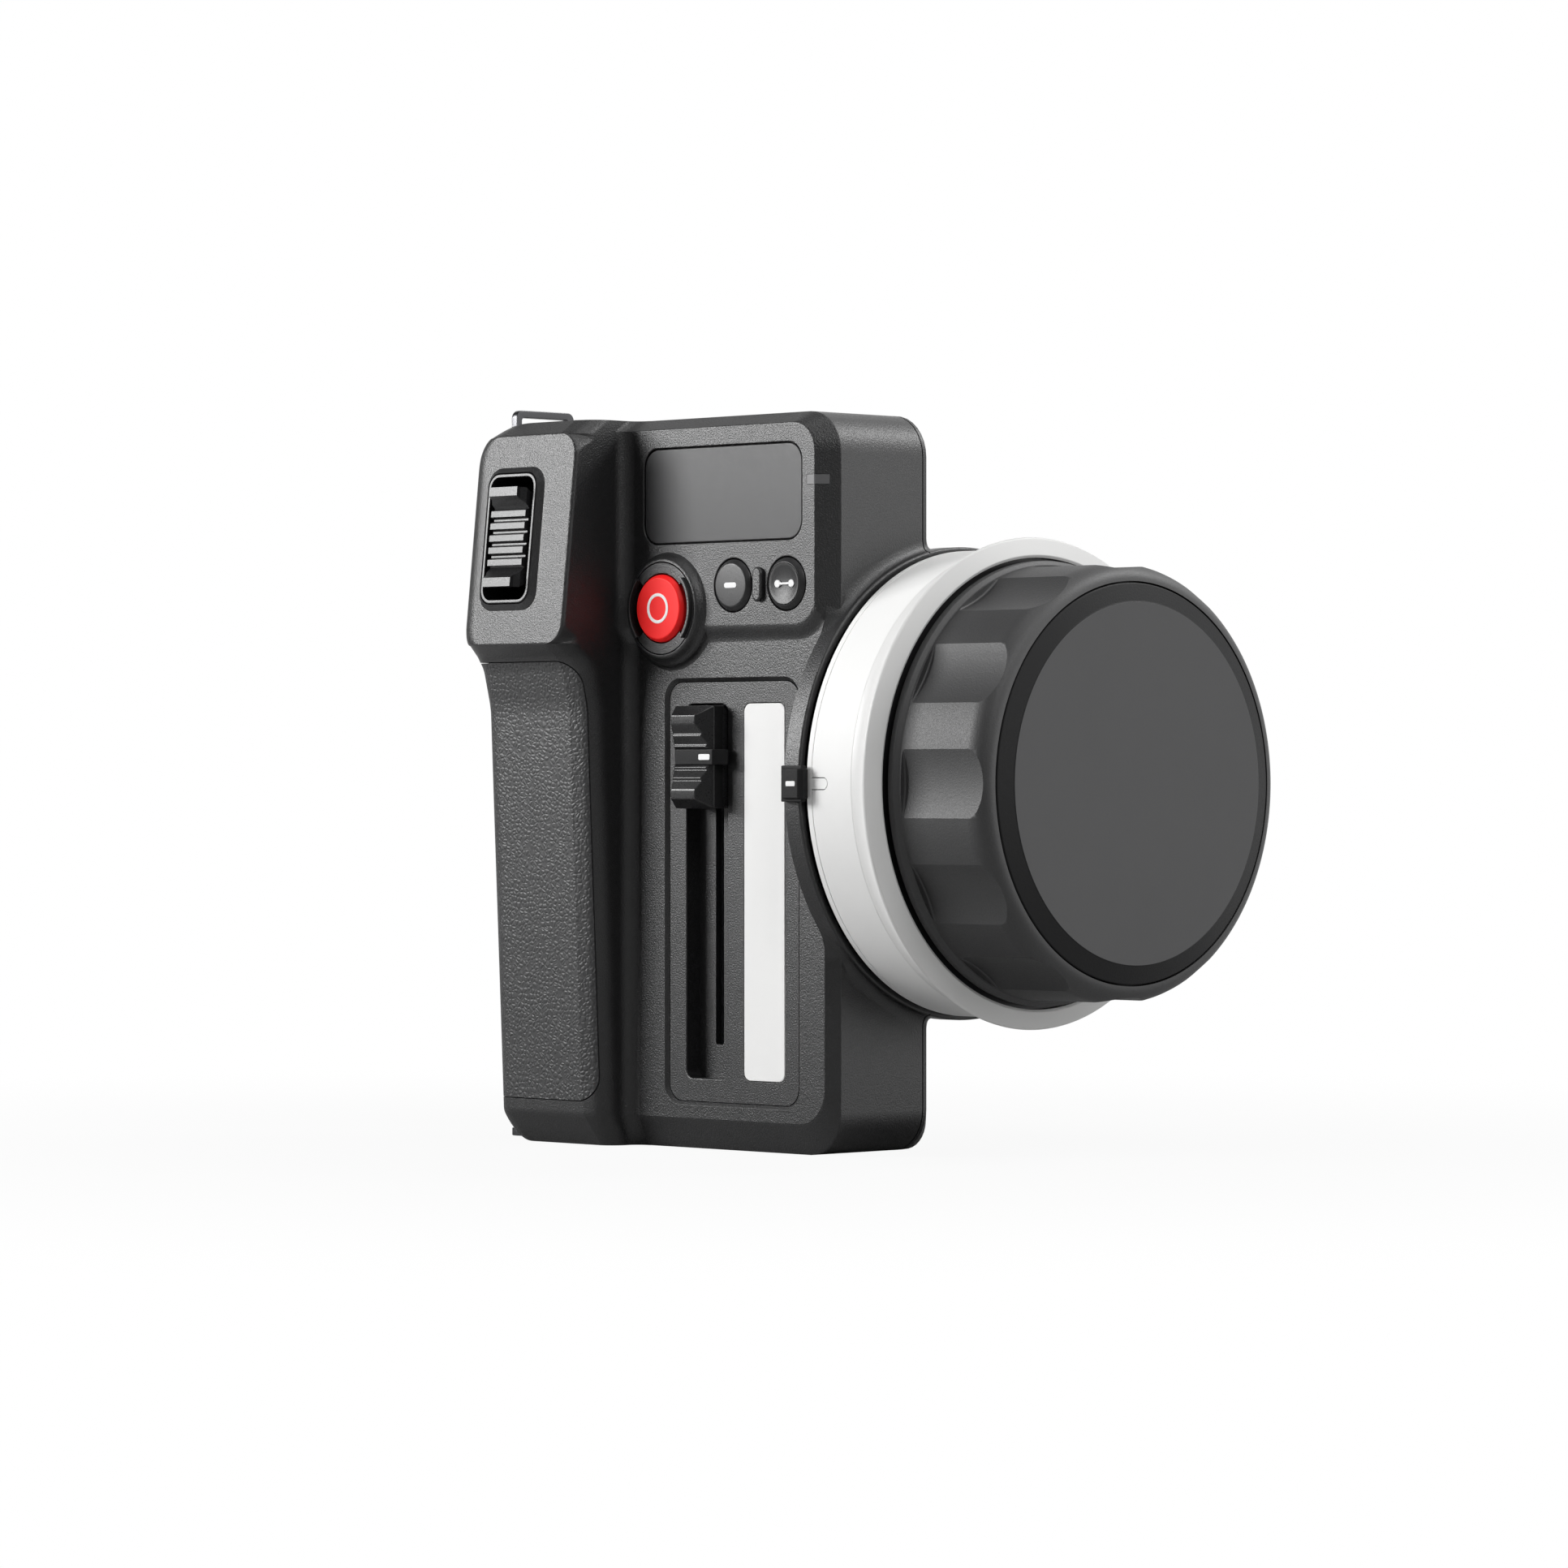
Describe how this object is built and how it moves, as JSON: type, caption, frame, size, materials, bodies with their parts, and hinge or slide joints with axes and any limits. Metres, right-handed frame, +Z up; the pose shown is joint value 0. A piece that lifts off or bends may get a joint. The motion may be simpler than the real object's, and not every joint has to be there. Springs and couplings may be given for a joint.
{
  "type": "focus demand",
  "caption": "Hand unit for remote lens focus: textured grip body with display, keys, thumb rocker and slider, and a large ring-marked wheel on its side.",
  "frame": {"origin": "middle of the flat foot that the body stands on, under its left half", "axes": "+X along the wheel's axle from the body out through the wheel, -Y out of the front with the display and keys, +Z up the body"},
  "size_m": [0.1183, 0.0898, 0.1267],
  "materials": {
    "moulded_black": "matte",
    "grip_rubber": "matte",
    "wheel_rubber": "matte",
    "display_gloss": "gloss",
    "white_plastic": "matte",
    "frosted_plastic": "satin",
    "key_plastic": "satin",
    "core_plastic": "matte",
    "cap_plastic": "satin",
    "red_plastic": "satin",
    "lug_metal": "satin",
    "steel": "satin",
    "cast_aluminium": "satin",
    "cell_can": "satin",
    "circuit_board": "satin"
  },
  "bodies": {
    "housing": {"front_shell": "moulded_black", "rear_cover": "moulded_black", "rec_collar": "moulded_black", "slider_panel": "moulded_black", "rocker_bezel": "moulded_black", "index_pointer": "moulded_black", "grip_pad": "grip_rubber", "port_cover": "grip_rubber", "display_window": "display_gloss", "marking_strip": "white_plastic", "index_mark": "white_plastic", "light_pipe": "frosted_plastic", "top_strap_lug": "lug_metal", "bottom_strap_lug": "lug_metal", "cover_screw_bottom_left": "steel", "cover_screw_top_left": "steel", "cover_screw_bottom_right": "steel", "cover_screw_top_right": "steel", "usb_port": "steel", "tripod_insert": "steel", "rec_switch": "steel", "m_switch": "steel", "ab_switch": "steel", "rocker_pin": "steel", "bearing_inner": "steel", "bearing_outer": "steel", "wheel_base": "cast_aluminium", "haptic_motor": "cast_aluminium", "slide_potentiometer": "cast_aluminium", "battery_pack": "cell_can", "display_module": "circuit_board", "main_board": "circuit_board", "rocker_sensor": "circuit_board", "wheel_encoder": "circuit_board"},
    "focus_wheel": {"wheel_shaft": "steel", "knob_core": "core_plastic", "ring_rim": "white_plastic", "marking_ring": "white_plastic", "flare_ring": "frosted_plastic", "knob_grip": "wheel_rubber", "wheel_cap": "cap_plastic", "hub_screw": "steel"},
    "rec_button": {"rec_button": "red_plastic", "rec_mark": "white_plastic"},
    "m_button": {"m_button": "key_plastic", "m_mark": "white_plastic"},
    "ab_button": {"ab_button": "key_plastic", "ab_mark": "white_plastic"},
    "slider": {"slider_thumb": "moulded_black", "slider_mark": "white_plastic"},
    "rocker": {"rocker": "key_plastic"}
  },
  "joints": [
    {"name": "wheel_spin", "type": "hinge", "parent": "housing", "child": "focus_wheel", "pos_m": [0.068, 0.0185, 0.062], "axis": [1, 0, 0], "continuous": true},
    {"name": "rec_press", "type": "slide", "parent": "housing", "child": "rec_button", "axis": [0, 1, 0], "range_m": [0, 0.0005], "stiffness_N_per_m": 400, "springref_m": -0.001},
    {"name": "m_press", "type": "slide", "parent": "housing", "child": "m_button", "axis": [0, 1, 0], "range_m": [0, 0.0005], "stiffness_N_per_m": 400, "springref_m": -0.001},
    {"name": "ab_press", "type": "slide", "parent": "housing", "child": "ab_button", "axis": [0, 1, 0], "range_m": [0, 0.0005], "stiffness_N_per_m": 400, "springref_m": -0.001},
    {"name": "slider_travel", "type": "slide", "parent": "housing", "child": "slider", "axis": [0, 0, -1], "range_m": [0, 0.045]},
    {"name": "rocker_tilt", "type": "hinge", "parent": "housing", "child": "rocker", "pos_m": [-0.0225, -0.02154, 0.10353], "axis": [1, 0, 0], "range_deg": [-10, 10], "stiffness_Nm_per_rad": 0.02}
  ]
}
